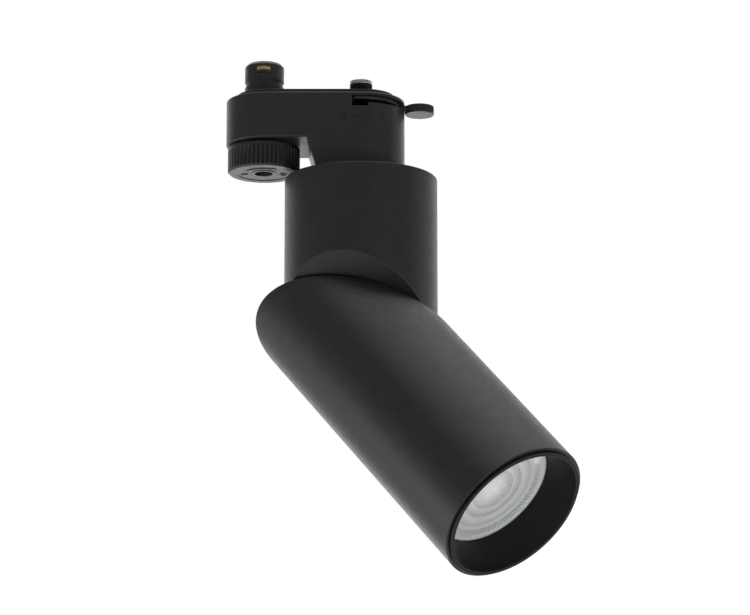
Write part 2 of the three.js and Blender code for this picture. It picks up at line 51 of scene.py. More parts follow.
TAU = 2 * math.pi

# ---------------------------------------------------------------- places read from the frame

joints = {joint["name"]: joint for joint in frame["joints"]}
pan_x = joints["pan"]["pos_m"][0]
knob_x = joints["knob_turn"]["pos_m"][0]
pivot = Vector(joints["head_swivel"]["pos_m"])
swivel_axis = Vector(joints["head_swivel"]["axis"]).normalized()
head_axis = Vector(joints["lamp_twist"]["axis"]).normalized()


def span(node, axis):
    """Lowest and highest coordinate of a CAD node along an axis."""
    low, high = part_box(node)
    return low[axis], high[axis]


TUBE_R = (span("canister_top_cap", 0)[1] - span("canister_top_cap", 0)[0]) / 2
CAP_TOP = span("canister_top_cap", 2)[1]
CANISTER_TOP = span("canister_shell", 2)[1]
HOUSING_TOP = span("adapter_housing_front", 2)[1]
NECK_BOTTOM = span("adapter_housing_front", 2)[0]
HOUSING_END = span("adapter_housing_front", 0)[1]
HOUSING_R = -span("adapter_housing_front", 1)[0]
KNOB_BOTTOM, KNOB_TOP = span("locking_knob", 2)
KNOB_R = (span("locking_knob", 0)[1] - span("locking_knob", 0)[0]) / 2

# Sizes that the outer boxes don't give.
HOUSING_BOTTOM = -20.7 * MM
NECK_LEFT_TOP = -2.9 * MM
NECK_LEFT_BOTTOM = 0.8 * MM
WALL = 2 * MM
TOP_WALL = 1.2 * MM
TUBE_WALL = 1.5 * MM
END_WALL = 2.5 * MM
SWIVEL_GAP = 1.1 * MM
NIPPLE_HOLE = 5.2 * MM
HEAD_TUBE_END = -106.3 * MM
BAFFLE_FRONT = -107.6 * MM
LAMP_FACE = -92.7 * MM
LAMP_R = 25 * MM
LENS_R = 24.3 * MM
TICKS = 132
TICK_IN = 19.4 * MM
TICK_OUT = 22.2 * MM

# ---------------------------------------------------------------- mesh helpers


def finish_mesh(name, verts, faces, matrix=None, sharp=32):
    """A mesh object with welded vertices, outward faces and sharp edges by angle."""
    mesh = bpy.data.meshes.new(name)
    mesh.from_pydata([tuple(v) for v in verts], [], faces)
    work = bmesh.new()
    work.from_mesh(mesh)
    bmesh.ops.remove_doubles(work, verts=work.verts, dist=1e-7)
    bmesh.ops.recalc_face_normals(work, faces=work.faces)
    work.to_mesh(mesh)
    work.free()
    obj = bpy.data.objects.new(name, mesh)
    bpy.context.scene.collection.objects.link(obj)
    if matrix is not None:
        obj.matrix_world = matrix
    shade(obj, sharp)
    return obj


def settled(obj):
    """The piece with its place moved from the object into the mesh."""
    obj.data.transform(obj.matrix_world)
    obj.matrix_world = Matrix.Identity(4)
    return obj


def shade(obj, sharp=32):
    obj.data.shade_smooth()
    obj.data.set_sharp_from_angle(angle=math.radians(sharp))


def filleted(points, radius, closed, arc_steps=3, support=0.12 * MM):
    """The profile with rounded corners, and a support point beside each arc so that long faces stay flat."""
    count = len(points)
    out = []
    for i, point in enumerate(points):
        here = Vector(point[:2])
        own = point[2] if len(point) > 2 else radius
        ends = not closed and i in (0, count - 1)
        if ends or own == 0:
            out.append(here)
            continue
        before = Vector(points[i - 1][:2]) - here
        after = Vector(points[(i + 1) % count][:2]) - here
        half = before.angle(after) / 2
        reach = min(own / math.tan(half), 0.45 * before.length, 0.45 * after.length)
        start = here + before.normalized() * reach
        end = here + after.normalized() * reach
        if before.length > 2 * reach + 2 * support:
            out.append(here + before.normalized() * (reach + support))
        for step in range(arc_steps + 1):
            t = step / arc_steps
            out.append(start * (1 - t) ** 2 + here * 2 * t * (1 - t) + end * t**2)
        if after.length > 2 * reach + 2 * support:
            out.append(here + after.normalized() * (reach + support))
    return out


def turned(name, profile, columns=160, closed=True, matrix=None, warp=None, sharp=32):
    """A turned piece about Z. profile is a list of points (r, z), or a function of the angle that gives one.
    warp(r, z, angle) may move each point."""
    verts, faces, rows = [], [], 0
    for column in range(columns):
        angle = TAU * column / columns
        points = profile(angle) if callable(profile) else profile
        rows = len(points)
        for r, z in points:
            if warp:
                r, z = warp(r, z, angle)
            verts.append((r * math.cos(angle), r * math.sin(angle), z))
    steps = rows if closed else rows - 1
    for column in range(columns):
        here, there = column * rows, (column + 1) % columns * rows
        for row in range(steps):
            after = (row + 1) % rows
            faces.append((here + row, there + row, there + after, here + after))
    return finish_mesh(name, verts, faces, matrix, sharp)


def prism(name, outline, low, high, axis="Z"):
    """A straight prism with that outline. Along Y, the outline's points are (x, z)."""
    count = len(outline)
    verts = []
    for level in (low, high):
        for u, v in outline:
            verts.append((u, v, level) if axis == "Z" else (u, level, v))
    faces = [tuple(range(count)), tuple(range(count, 2 * count))]
    for i in range(count):
        j = (i + 1) % count
        faces.append((i, j, count + j, count + i))
    return finish_mesh(name, verts, faces)


def stadium(half_length, radius, steps=40):
    centre = half_length - radius
    points = []
    for side in (1, -1):
        for i in range(steps + 1):
            angle = -math.pi / 2 + math.pi * i / steps
            points.append((side * (centre + radius * math.cos(angle)), side * radius * math.sin(angle)))
    return points


def arc_points(radius, start, stop, steps):
    """Points on an arc about the origin, between two angles in degrees."""
    angles = [math.radians(start + (stop - start) * i / steps) for i in range(steps + 1)]
    return [(radius * math.cos(a), radius * math.sin(a)) for a in angles]


def shifted(points, dx):
    return [(x + dx, y) for x, y in points]


def rod_outline(radius, x, z, steps=32):
    angles = [TAU * i / steps for i in range(steps)]
    return [(x + radius * math.cos(angle), z + radius * math.sin(angle)) for angle in angles]


def bake(obj):
    """Applies the object's modifiers to its mesh."""
    bpy.context.view_layer.update()
    evaluated = obj.evaluated_get(bpy.context.evaluated_depsgraph_get())
    mesh = bpy.data.meshes.new_from_object(evaluated)
    obj.modifiers.clear()
    obj.data = mesh
    return obj


def combine(obj, *tools, operation="DIFFERENCE"):
    """Cuts the tools out of the object, or joins or intersects them, and removes the tools."""
    for tool in tools:
        modifier = obj.modifiers.new("combine", "BOOLEAN")
        modifier.operation = operation
        modifier.solver = "EXACT"
        modifier.object = tool
        bake(obj)
        bpy.data.objects.remove(tool)
    return obj


def bevel(obj, width, limit=30, segments=3):
    modifier = obj.modifiers.new("bevel", "BEVEL")
    modifier.width = width
    modifier.segments = segments
    modifier.limit_method = "ANGLE"
    modifier.angle_limit = math.radians(limit)
    modifier.harden_normals = False
    modifier.use_clamp_overlap = True
    bake(obj)
    return obj


def soft_shade(obj, sharp=40):
    """Smooth shading whose normals follow the large faces."""
    shade(obj, sharp)
    modifier = obj.modifiers.new("weighted", "WEIGHTED_NORMAL")
    modifier.keep_sharp = True
    bake(obj)
    return obj


def merged(name, *pieces):
    """Several meshes as one piece, in place."""
    work = bmesh.new()
    for piece in pieces:
        mesh = piece.data.copy()
        mesh.transform(piece.matrix_world)
        work.from_mesh(mesh)
        bpy.data.objects.remove(piece)
    mesh = bpy.data.meshes.new(name)
    work.to_mesh(mesh)
    work.free()
    obj = bpy.data.objects.new(name, mesh)
    bpy.context.scene.collection.objects.link(obj)
    shade(obj)
    return obj


# ---------------------------------------------------------------- materials


class Nodes:
    """A small helper that adds and links nodes in one material."""

    def __init__(self, name):
        self.material = bpy.data.materials.new(name)
        self.material.use_nodes = True
        self.tree = self.material.node_tree
        self.shader = self.tree.nodes["Principled BSDF"]
        self.place = self.add("ShaderNodeTexCoord")

    def add(self, kind, **values):
        node = self.tree.nodes.new(kind)
        for key, value in values.items():
            if hasattr(node, key):
                setattr(node, key, value)
            else:
                node.inputs[key.replace("_", " ").title()].default_value = value
        return node

    def link(self, source, target):
        self.tree.links.new(source, target)

    def noise(self, scale, detail=2.0, roughness=0.5):
        node = self.add("ShaderNodeTexNoise", Scale=scale, Detail=detail, Roughness=roughness)
        self.link(self.place.outputs["Object"], node.inputs["Vector"])
        return node.outputs["Fac"]

    def between(self, factor, low, high):
        node = self.add("ShaderNodeMapRange")
        self.link(factor, node.inputs["Value"])
        node.inputs["From Min"].default_value = 0.3
        node.inputs["From Max"].default_value = 0.7
        node.inputs["To Min"].default_value = low
        node.inputs["To Max"].default_value = high
        return node.outputs["Result"]

    def blend(self, factor, low, high):
        node = self.add("ShaderNodeMix", data_type="RGBA")
        self.link(factor, node.inputs["Factor"])
        node.inputs[6].default_value = (*low, 1)
        node.inputs[7].default_value = (*high, 1)
        return node.outputs[2]

    def bump(self, height, depth, strength=1.0, onto=None):
        node = self.add("ShaderNodeBump")
        node.inputs["Strength"].default_value = strength
        node.inputs["Distance"].default_value = depth
        self.link(height, node.inputs["Height"])
        if onto is not None:
            self.link(onto, node.inputs["Normal"])
        return node.outputs["Normal"]


def coated(name, low, high, rough, grain_scale, grain_depth, wave_depth=0.0, specular=0.5):
    """A painted, moulded or plated surface: fine grain, faint waviness, and mottled colour and gloss."""
    n = Nodes(name)
    n.link(n.blend(n.between(n.noise(140, 3), 0, 1), low, high), n.shader.inputs["Base Color"])
    n.link(n.between(n.noise(420, 4, 0.6), *rough), n.shader.inputs["Roughness"])
    normal = n.bump(n.noise(grain_scale, 3, 0.6), grain_depth)
    if wave_depth:
        normal = n.bump(n.noise(90, 1), wave_depth, 1.0, normal)
    n.link(normal, n.shader.inputs["Normal"])
    n.shader.inputs["Specular IOR Level"].default_value = specular
    return n.material


def radial_material(name, low, high, rough, ring_count):
    """Metal with fine rings about the Z axis of its texture coordinates."""
    n = Nodes(name)
    wave = n.add("ShaderNodeTexWave", wave_type="RINGS", rings_direction="Z", Scale=ring_count,
                 Distortion=0.6, Detail=2)
    n.link(n.place.outputs["Object"], wave.inputs["Vector"])
    n.link(n.blend(n.between(n.noise(300, 3), 0, 1), low, high), n.shader.inputs["Base Color"])
    n.link(n.between(wave.outputs["Fac"], *rough), n.shader.inputs["Roughness"])
    n.link(n.bump(wave.outputs["Fac"], 0.004 * MM), n.shader.inputs["Normal"])
    n.shader.inputs["Metallic"].default_value = 1.0
    return n.material


def with_painted_rib_shade(n, apart, radius, color):
    """The colour with painted shade: darkened in fine radial ticks on the grooved side of each rib in the band
    near the lens's edge.
    """
    turn = n.add("ShaderNodeMath", operation="ARCTAN2")
    n.link(apart.outputs["Y"], turn.inputs[0])
    n.link(apart.outputs["X"], turn.inputs[1])
    many = n.add("ShaderNodeMath", operation="MULTIPLY")
    n.link(turn.outputs["Value"], many.inputs[0])
    many.inputs[1].default_value = TICKS
    wave = n.add("ShaderNodeMath", operation="COSINE")
    n.link(many.outputs["Value"], wave.inputs[0])
    beyond = n.add("ShaderNodeMath", operation="GREATER_THAN")
    n.link(radius.outputs["Value"], beyond.inputs[0])
    beyond.inputs[1].default_value = TICK_IN
    within = n.add("ShaderNodeMath", operation="LESS_THAN")
    n.link(radius.outputs["Value"], within.inputs[0])
    within.inputs[1].default_value = TICK_OUT
    band = n.add("ShaderNodeMath", operation="MULTIPLY")
    n.link(beyond.outputs["Value"], band.inputs[0])
    n.link(within.outputs["Value"], band.inputs[1])
    # Painted shade: the grooved side of each rib wave is darkened.
    rib_shade_side = n.add("ShaderNodeMath", operation="GREATER_THAN")
    n.link(wave.outputs["Value"], rib_shade_side.inputs[0])
    rib_shade_side.inputs[1].default_value = 0.1
    painted_rib_shade_mask = n.add("ShaderNodeMath", operation="MULTIPLY")
    n.link(band.outputs["Value"], painted_rib_shade_mask.inputs[0])
    n.link(rib_shade_side.outputs["Value"], painted_rib_shade_mask.inputs[1])
    shade_in = n.add("ShaderNodeMix", data_type="RGBA", blend_type="MULTIPLY")
    n.link(painted_rib_shade_mask.outputs["Value"], shade_in.inputs["Factor"])
    n.link(color, shade_in.inputs[6])
    shade_in.inputs[7].default_value = (0.56, 0.58, 0.59, 1)
    return shade_in.outputs[2]


def lens_material():
    """Clear moulded lens over a pale reflector: painted light in rings of slightly different grey, with a painted
    highlight brightest in the middle, painted shade between the ribs near the edge, and faint warm patches.
    """
    n = Nodes("lamp_lens_look")
    apart = n.add("ShaderNodeSeparateXYZ")
    n.link(n.place.outputs["Object"], apart.inputs["Vector"])
    flat = n.add("ShaderNodeCombineXYZ")
    n.link(apart.outputs["X"], flat.inputs["X"])
    n.link(apart.outputs["Y"], flat.inputs["Y"])
    radius = n.add("ShaderNodeVectorMath", operation="LENGTH")
    n.link(flat.outputs["Vector"], radius.inputs[0])
    ramp = n.add("ShaderNodeValToRGB")
    share = n.add("ShaderNodeMath", operation="DIVIDE")
    n.link(radius.outputs["Value"], share.inputs[0])
    share.inputs[1].default_value = LAMP_R
    n.link(share.outputs["Value"], ramp.inputs["Fac"])
    # Greys from the middle out: a painted highlight brightest in the middle, then rings lighter and darker in turn
    # as painted shading of the lens's steps.
    painted_ring_light = [(0.0, 0.95), (0.16, 0.86), (0.34, 0.62), (0.38, 0.78), (0.50, 0.60), (0.56, 0.80), (0.68, 0.66),
             (0.74, 0.80), (0.79, 0.70), (0.86, 0.74), (0.90, 0.84), (1.0, 0.88)]
    ramp.color_ramp.elements[0].position = painted_ring_light[0][0]
    ramp.color_ramp.elements[1].position = painted_ring_light[-1][0]
    for position, _ in painted_ring_light[1:-1]:
        ramp.color_ramp.elements.new(position)
    for element, (_, grey) in zip(ramp.color_ramp.elements, painted_ring_light):
        element.color = (grey * 0.97, grey, grey * 1.01, 1)
    tint = n.add("ShaderNodeMix", data_type="RGBA", blend_type="MULTIPLY")
    n.link(n.between(n.noise(60, 1), 0, 0.5), tint.inputs["Factor"])
    n.link(ramp.outputs["Color"], tint.inputs[6])
    tint.inputs[7].default_value = (1.0, 0.9, 0.88, 1)
    # Painted shade between the ribs of the edge band, laid over the painted ring light.
    n.link(with_painted_rib_shade(n, apart, radius, tint.outputs[2]), n.shader.inputs["Base Color"])
    n.link(n.between(n.noise(500, 2), 0.16, 0.3), n.shader.inputs["Roughness"])
    n.link(n.bump(n.noise(900, 2), 0.01 * MM), n.shader.inputs["Normal"])
    n.shader.inputs["Coat Weight"].default_value = 0.6
    n.shader.inputs["Coat Roughness"].default_value = 0.08
    return n.material


looks = {
    "black_paint": coated("powder_coat", (0.012, 0.012, 0.013), (0.016, 0.016, 0.017), (0.38, 0.48), 2600,
                          0.014 * MM, 0.02 * MM),
    "black_plastic": coated("moulded_black", (0.016, 0.016, 0.018), (0.021, 0.021, 0.023), (0.34, 0.46), 3200,
                            0.006 * MM, 0.02 * MM),
    "baffle_plastic": coated("baffle_black", (0.006, 0.006, 0.006), (0.008, 0.008, 0.008), (0.42, 0.52), 3000,
                             0.006 * MM, specular=0.35),
    "zinc_steel": radial_material("zinc_plate", (0.5, 0.51, 0.53), (0.62, 0.63, 0.66), (0.25, 0.42), 900),
    "brass": radial_material("brass_strip", (0.62, 0.45, 0.2), (0.75, 0.56, 0.27), (0.25, 0.4), 900),
    "white_plastic": coated("moulded_white", (0.7, 0.7, 0.68), (0.78, 0.78, 0.76), (0.35, 0.5), 1800,
                            0.01 * MM),
    "white_ceramic": coated("white_ceramic", (0.72, 0.7, 0.64), (0.8, 0.78, 0.73), (0.5, 0.65), 2200,
                            0.02 * MM),
    "lens_plastic": lens_material(),
    "board_aluminium": radial_material("board_metal", (0.6, 0.61, 0.62), (0.7, 0.71, 0.72), (0.3, 0.45), 700),
    "cable_sheath": coated("cable_sheath", (0.6, 0.59, 0.56), (0.68, 0.67, 0.64), (0.55, 0.7), 1600,
                           0.01 * MM),
    "live_sleeve": coated("brown_sleeve", (0.12, 0.055, 0.025), (0.16, 0.075, 0.035), (0.45, 0.6), 1600,
                          0.01 * MM),
    "neutral_sleeve": coated("blue_sleeve", (0.035, 0.09, 0.25), (0.05, 0.12, 0.32), (0.45, 0.6), 1600,
                             0.01 * MM),
}


def place(obj, body, slot, *nodes):
    """Gives a finished piece its look, its body and the CAD nodes that it stands for."""
    obj.data.materials.clear()
    obj.data.materials.append(looks[slot])
    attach(obj, body)
    if nodes:
        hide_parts(*nodes)
    return obj


# Every CAD node that stays visible gets its slot's look.
slot_of = {part["node"]: part["material_slot"] for part in frame["record"]["subparts"]}
for node_name, node in frame["nodes"].items():
    node.data.materials.clear()
    node.data.materials.append(looks[slot_of[node_name]])

# ---------------------------------------------------------------- camera

CAMERA_AT = Vector((23.5 * MM, -1263.9 * MM, -374.9 * MM))
CAMERA_PITCH = 12.9
CAMERA_LENS = 159.44

camera_data = bpy.data.cameras.new("camera")
camera_data.lens = CAMERA_LENS
camera_data.sensor_width = 36
camera_data.clip_start = 0.05
camera_data.clip_end = 50
camera = bpy.data.objects.new("camera", camera_data)
camera.location = CAMERA_AT
camera.rotation_euler = (math.radians(90 + CAMERA_PITCH), 0, 0)
bpy.context.scene.collection.objects.link(camera)
bpy.context.scene.camera = camera

# ---------------------------------------------------------------- adapter housing


def neck_left(z, inset):
    share = (HOUSING_BOTTOM - z) / (HOUSING_BOTTOM - NECK_BOTTOM)
    return NECK_LEFT_TOP + (NECK_LEFT_BOTTOM - NECK_LEFT_TOP) * share + inset


def housing_block(name, inset, top_inset):
    """The long housing with its neck, set in by a wall."""
    top = HOUSING_TOP - top_inset
    step = HOUSING_BOTTOM + inset
    bottom = NECK_BOTTOM + inset
    end = HOUSING_END + 1 * MM
    side = [(-end, top), (-end, step), (neck_left(step, inset), step), (neck_left(bottom, inset), bottom),
            (end, bottom), (end, top)]
    block = prism(name, stadium(HOUSING_END - inset, HOUSING_R - inset), bottom, top)
    return combine(block, prism("side", side, -HOUSING_R - MM, HOUSING_R + MM, "Y"), operation="INTERSECT")


SCREW_PLACES = [
    (screw, sum(span(screw, 0)) / 2, sum(span(screw, 2)) / 2)
    for screw in ("housing_screw_1", "housing_screw_2", "housing_screw_3")
]
SCREW_SEAT = 13.2 * MM
SCREW_HEAD_R = 2.8 * MM
SLOT_TOP = -3.55 * MM
SLOT_BOTTOM = -6.7 * MM
NOTCH_BOTTOM = -8 * MM
ROTOR_HOLE = 8.2 * MM
HUB_HOLE = 4.9 * MM
PARTING = 0.06 * MM


def housing_body():
    body = bevel(housing_block("housing", 0, 0), 0.55 * MM, segments=4)
    hollow = housing_block("hollow", WALL, TOP_WALL)
    for _, x, z in SCREW_PLACES:
        boss = prism("boss", rod_outline(3.9 * MM, x, z), -20 * MM, 20 * MM, "Y")
        combine(hollow, boss)
    combine(body, hollow)
    for _, x, z in SCREW_PLACES:
        combine(body, prism("screw_hole", rod_outline(3.1 * MM, x, z), SCREW_SEAT, 20 * MM, "Y"))
    slot = arc_points(20 * MM, -90, 15, 24) + arc_points(12 * MM, 15, -90, 24)
    notch_low, notch_high = pan_x - 3.5 * MM, pan_x + 2.8 * MM
    notch = [(notch_low, -20 * MM), (notch_high, -20 * MM), (notch_high, -12 * MM), (notch_low, -12 * MM)]
    rim_way = arc_points(15.4 * MM, -120, -80, 12) + [(0, 0)]
    combine(
        body,
        prism("rotor_hole", rod_outline(ROTOR_HOLE, knob_x, 0, 64), -8 * MM, 0),
        prism("hub_hole", rod_outline(HUB_HOLE, pan_x, 0, 48), -4.2 * MM, 0),
        prism("slot", shifted(slot, pan_x), SLOT_BOTTOM, SLOT_TOP),
        prism("notch", notch, NOTCH_BOTTOM, SLOT_TOP + 0.01 * MM),
        prism("rim_way", shifted(rim_way, pan_x), -5.1 * MM, SLOT_TOP),
        prism("spindle_hole", rod_outline(3.9 * MM, knob_x, 0, 40), -24 * MM, -18 * MM),
    )
    return body


def half_of(body, name, sign):
    """The half of the housing on one side of the parting plane, with softened edges."""
    half = body.copy()
    half.data = body.data.copy()
    half.name = name
    bpy.context.scene.collection.objects.link(half)
    far = 60 * MM
    block = [(-far, -far), (far, -far), (far, far), (-far, far)]
    low, high = (-far, PARTING) if sign > 0 else (-PARTING, far)
    combine(half, prism("side_block", block, low, high, "Y"))
    bevel(half, 0.14 * MM, limit=42, segments=2)
    return soft_shade(half, 50)


housing = housing_body()
place(half_of(housing, "housing_front_shell", -1), "adapter", "black_plastic", "adapter_housing_front")
place(half_of(housing, "housing_rear_shell", 1), "adapter", "black_plastic", "adapter_housing_rear")
bpy.data.objects.remove(housing)


def marks(name, shapes, place_points):
    """Raised marks: closed outlines, each made 0.15 mm thick by place_points(u, v, level)."""
    verts, faces = [], []
    for outline in shapes:
        count = len(outline)
        first = len(verts)
        for level in (0, 1):
            verts.extend(place_points(u, v, level) for u, v in outline)
        faces.append(tuple(first + i for i in range(count)))
        faces.append(tuple(first + count + i for i in range(count)))
        for i in range(count):
            j = (i + 1) % count
            faces.append((first + i, first + j, first + count + j, first + count + i))
    return finish_mesh(name, verts, faces)


def stroke(points, width):
    """A thin closed outline along a list of points."""
    left, right = [], []
    for i, point in enumerate(points):
        before = Vector(points[max(i - 1, 0)])
        after = Vector(points[min(i + 1, len(points) - 1)])
        along = (after - before).normalized()
        side = Vector((-along.y, along.x)) * width / 2
        left.append(tuple(Vector(point) + side))
        right.append(tuple(Vector(point) - side))
    return left + right[::-1]


def circle_marks(x, y, radius, width):
    """A ring as two half strokes."""
    halves = [arc_points(radius, 0, 180, 14), arc_points(radius, 180, 360, 14)]
    return [[(u + x, v + y) for u, v in stroke(half, width)] for half in halves]


MARK_W = 0.42 * MM
MARK_RISE = 0.28 * MM
front_marks = circle_marks(11 * MM, -12 * MM, 1.4 * MM, MARK_W)
front_marks.append(stroke([(14.6 * MM, -12 * MM), (22 * MM, -12 * MM)], MARK_W))
front_marks.append([(22 * MM, -11.1 * MM), (23.6 * MM, -12 * MM), (22 * MM, -12.9 * MM)])
front_marks.append(stroke([(26.6 * MM, -13.4 * MM), (26.6 * MM, -10.6 * MM)], MARK_W))


def on_front(x, z, level):
    """A point on the housing's front face, which curves away past the end's centre."""
    past = max(0.0, x - (HOUSING_END - HOUSING_R))
    y = -math.sqrt(HOUSING_R**2 - past**2)
    return (x, y + 0.05 * MM - level * (MARK_RISE + 0.05 * MM), z)


place(marks("housing_marks", front_marks, on_front), "adapter", "black_plastic")


def cross_recess(obj, centre, size, depth, axis):
    """A cross-shaped drive recess in a screw head that faces +Y or -Z."""
    for turn in (0, 1):
        half = (size, size * 0.17) if turn else (size * 0.17, size)
        outline = [(-half[0], -half[1]), (half[0], -half[1]), (half[0], half[1]), (-half[0], half[1])]
        if axis == "Y":
            outline = [(u + centre[0], v + centre[2]) for u, v in outline]
            combine(obj, prism("drive", outline, centre[1] - depth, centre[1] + depth, "Y"))
        else:
            outline = [(u + centre[0], v + centre[1]) for u, v in outline]
            combine(obj, prism("drive", outline, centre[2] - depth, centre[2] + depth))
    return obj


def screw_at(name, matrix, head_r, head_h, shank_r, length):
    """A pan-head screw with its head along local +Z and its seat at local zero."""
    corners = [(0, head_h), (head_r * 0.7, head_h), (head_r, head_h * 0.45), (head_r, 0), (shank_r, 0),
               (shank_r, -length + shank_r), (shank_r * 0.2, -length), (0, -length)]
    points = filleted(corners, 0.12 * MM, False)
    return turned(name, points, 48, False, matrix)


for screw_name, x, z in SCREW_PLACES:
    upright = Matrix.Translation((x, SCREW_SEAT + 0.1 * MM, z)) @ Matrix.Rotation(-math.pi / 2, 4, "X")
    piece = screw_at(screw_name + "_visual", upright, SCREW_HEAD_R, 1.2 * MM, 1.3 * MM, 24 * MM)
    settled(piece)
    cross_recess(piece, (x, SCREW_SEAT + 1.3 * MM, z), 1.7 * MM, 0.7 * MM, "Y")
    shade(piece)
    place(piece, "adapter", "zinc_steel", screw_name)

# Seat plate, with four shallow grooves across its middle.
seat_low, seat_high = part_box("seat_plate")
seat = prism("seat_plate_visual", stadium(seat_high.x, seat_high.y), seat_low.z, seat_high.z)
GROOVE_HALF = 1.1 * MM
GROOVE_REACH = 8 * MM


def groove_plan(x):
    low, high = x - GROOVE_HALF, x + GROOVE_HALF
    return [(low, -GROOVE_REACH), (high, -GROOVE_REACH), (high, GROOVE_REACH), (low, GROOVE_REACH)]


groove_places = (-8.5 * MM, -4.5 * MM, 4.5 * MM, 8.5 * MM)
grooves = [prism("rib_gap", groove_plan(x), -0.7 * MM, 1 * MM) for x in groove_places]
combine(
    seat,
    prism("rotor_hole", rod_outline(ROTOR_HOLE, knob_x, 0, 64), -4 * MM, 1 * MM),
    prism("hub_hole", rod_outline(HUB_HOLE, pan_x, 0, 48), -4 * MM, 1 * MM),
    *grooves,
)
place(soft_shade(bevel(seat, 0.3 * MM, segments=3)), "adapter", "black_plastic", "seat_plate")

# ---------------------------------------------------------------- locking knob and contact rotor

at_knob = Matrix.Translation((knob_x, 0, 0))
RIBS = 50
RIB_DEPTH = 0.55 * MM
RIB_TOP = KNOB_TOP - 1.5 * MM
RIB_LOW = KNOB_BOTTOM + 0.7 * MM


def knurl(r, z, angle):
    """Rounded ribs with narrow grooves on the knob's side."""
    if r < KNOB_R - 0.3 * MM or not RIB_LOW - 0.2 * MM <= z <= RIB_TOP + 0.01 * MM:
        return r, z
    phase = (angle * RIBS / TAU) % 1.0
    groove = max(0.0, 1 - abs(phase - 0.5) / 0.24)
    fade = min(1.0, (z - RIB_LOW + 0.2 * MM) / (0.3 * MM), (RIB_TOP - z) / (0.2 * MM))
    return r - RIB_DEPTH * math.sin(groove * math.pi / 2) * max(0.0, fade), z


knob_corners = [
    (3.6 * MM, KNOB_TOP), (6 * MM, KNOB_TOP), (6 * MM, KNOB_BOTTOM + 2.4 * MM),
    (KNOB_R - 2.4 * MM, KNOB_BOTTOM + 2.4 * MM), (KNOB_R - 2.4 * MM, KNOB_TOP), (KNOB_R, KNOB_TOP, 0.35 * MM),
    (KNOB_R, RIB_TOP, 0.0), (KNOB_R, RIB_TOP - 0.2 * MM, 0.0), (KNOB_R, RIB_LOW + 0.1 * MM, 0.0),
    (KNOB_R, KNOB_BOTTOM + 0.7 * MM, 0.2 * MM), (KNOB_R - 0.75 * MM, KNOB_BOTTOM, 0.25 * MM),
    (10.6 * MM, KNOB_BOTTOM, 0.1 * MM), (10.4 * MM, KNOB_BOTTOM + 0.25 * MM, 0.1 * MM),
    (5.0 * MM, KNOB_BOTTOM + 0.25 * MM, 0.1 * MM), (4.8 * MM, KNOB_BOTTOM, 0.1 * MM),
    (3.5 * MM, KNOB_BOTTOM, 0.25 * MM), (3.5 * MM, KNOB_BOTTOM + 3 * MM), (1.8 * MM, KNOB_BOTTOM + 3 * MM),
    (1.8 * MM, -26.9 * MM), (3.6 * MM, -26.9 * MM),
]
knob_profile = filleted(knob_corners, 0.15 * MM, True)
knob = turned("locking_knob_visual", knob_profile, RIBS * 12, True, at_knob, knurl, 40)
place(knob, "knob", "black_plastic", "locking_knob")

# Quarter-turn marks on the knob's underside: an arc with an arrowhead, a ring and a bar.
arc_mark = stroke(arc_points(7.6 * MM, -150, -62, 20), 0.5 * MM)
tip_angle = math.radians(-52)
tip = Vector((7.6 * MM * math.cos(tip_angle), 7.6 * MM * math.sin(tip_angle)))
along_arc = Vector((-math.sin(tip_angle), math.cos(tip_angle)))
across_arc = Vector((math.cos(tip_angle), math.sin(tip_angle)))
arrow = [tuple(tip + along_arc * 0.6 * MM), tuple(tip - along_arc * 1.3 * MM + across_arc * 1.0 * MM),
         tuple(tip - along_arc * 1.3 * MM - across_arc * 1.0 * MM)]
knob_marks = [arc_mark, arrow, stroke([(-8.9 * MM, 1.2 * MM), (-6.3 * MM, 1.2 * MM)], 0.5 * MM)]
knob_marks += circle_marks(7.6 * MM, 1.6 * MM, 1.2 * MM, 0.5 * MM)


def under_knob(x, y, level):
    return (knob_x + x, y, KNOB_BOTTOM + 0.3 * MM - level * 0.35 * MM)


place(marks("knob_marks", knob_marks, under_knob), "knob", "black_plastic")

knob_screw_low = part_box("knob_screw")[0]
downward = Matrix.Translation((knob_x, 0, knob_screw_low.z + 1.4 * MM)) @ Matrix.Rotation(math.pi, 4, "X")
knob_screw = screw_at("knob_screw_visual", downward, 3 * MM, 1.4 * MM, 1.5 * MM, 5 * MM)
settled(knob_screw)
cross_recess(knob_screw, (knob_x, 0, knob_screw_low.z), 1.9 * MM, 0.8 * MM, "Z")
shade(knob_screw)
place(knob_screw, "knob", "zinc_steel", "knob_screw")

ROTOR_R = 7.75 * MM
ROTOR_TOP = span("contact_rotor", 2)[1]
ROTOR_BASE = span("contact_rotor", 2)[0]
rotor_corners = [
    (0, ROTOR_BASE), (9.6 * MM, ROTOR_BASE), (9.6 * MM, ROTOR_BASE + 2.2 * MM),
    (ROTOR_R, ROTOR_BASE + 2.2 * MM),
    (ROTOR_R, 3.4 * MM), (ROTOR_R - 0.5 * MM, 3.7 * MM), (ROTOR_R - 0.5 * MM, 5.2 * MM), (ROTOR_R, 5.5 * MM),
    (ROTOR_R, ROTOR_TOP - 1.2 * MM, 0.3 * MM), (6.6 * MM, ROTOR_TOP, 0.3 * MM),
    (2.6 * MM, ROTOR_TOP, 0.15 * MM),
    (2.4 * MM, ROTOR_TOP - 0.6 * MM, 0.1 * MM), (0, ROTOR_TOP - 0.6 * MM),
]
rotor = turned("contact_rotor_visual", filleted(rotor_corners, 0.12 * MM, False), 96, False)
rotor.data.transform(at_knob)
blade_low, blade_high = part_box("live_contact")
slot_half = blade_high.x - knob_x + 0.15 * MM
slot_plan = [(knob_x - slot_half, -9 * MM), (knob_x + slot_half, -9 * MM), (knob_x + slot_half, 9 * MM),
             (knob_x - slot_half, 9 * MM)]
combine(rotor, prism("blade_slot", slot_plan, blade_low.z - 0.15 * MM, blade_high.z + 0.15 * MM))
shade(rotor)
place(rotor, "knob", "black_plastic", "contact_rotor")

BLADE_TIP = 1.6 * MM

